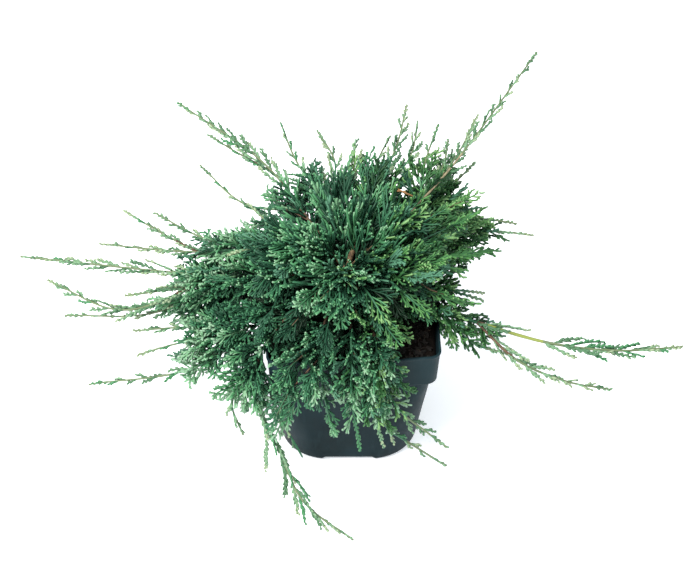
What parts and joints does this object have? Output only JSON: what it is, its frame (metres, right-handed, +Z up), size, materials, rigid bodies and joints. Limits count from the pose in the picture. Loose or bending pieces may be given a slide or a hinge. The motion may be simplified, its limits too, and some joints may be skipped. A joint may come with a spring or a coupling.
{
  "type": "potted creeping juniper",
  "caption": "Low spreading juniper in a square nursery pot: short stem, boughs into a dense mound of scale-leaved sprays, long thin whips that trail and reach out. Stands on its pot.",
  "frame": {"origin": "middle of the pot's flat underside, on the floor", "axes": "+Z up out of the pot, along the stem; +X along the plant's longest spread, to the right of the picture; -Y towards the picture's viewer"},
  "size_m": [0.6474, 0.4308, 0.3151],
  "materials": {
    "pot_plastic": "matte",
    "potting_mix": "matte",
    "bark": "matte",
    "scale_leaves": "matte"
  },
  "bodies": {
    "root": {"pot": "pot_plastic", "potting_mix": "potting_mix", "trunk": "bark", "bough_left_upper": "bark", "foliage_left_upper": "scale_leaves", "bough_left": "bark", "foliage_left": "scale_leaves", "bough_left_lower": "bark", "foliage_left_lower": "scale_leaves", "bough_front_left": "bark", "foliage_front_left": "scale_leaves", "bough_front": "bark", "foliage_front": "scale_leaves", "bough_front_middle": "bark", "foliage_front_middle": "scale_leaves", "bough_front_right": "bark", "foliage_front_right": "scale_leaves", "bough_right_lower": "bark", "foliage_right_lower": "scale_leaves", "bough_right": "bark", "foliage_right": "scale_leaves", "bough_right_upper": "bark", "foliage_right_upper": "scale_leaves", "bough_right_back": "bark", "foliage_right_back": "scale_leaves", "bough_back": "bark", "foliage_back": "scale_leaves", "bough_back_left": "bark", "foliage_back_left": "scale_leaves", "bough_left_back": "bark", "foliage_left_back": "scale_leaves", "bough_upper_left": "bark", "foliage_upper_left": "scale_leaves", "bough_upper_right": "bark", "foliage_upper_right": "scale_leaves", "bough_crown_whip": "bark", "foliage_crown_whip": "scale_leaves", "bough_crown_back": "bark", "foliage_crown_back": "scale_leaves", "bough_crown_back_left": "bark", "foliage_crown_back_left": "scale_leaves", "bough_crown_left": "bark", "foliage_crown_left": "scale_leaves", "bough_crown_front": "bark", "foliage_crown_front": "scale_leaves", "bough_crown_right": "bark", "foliage_crown_right": "scale_leaves"}
  },
  "joints": []
}
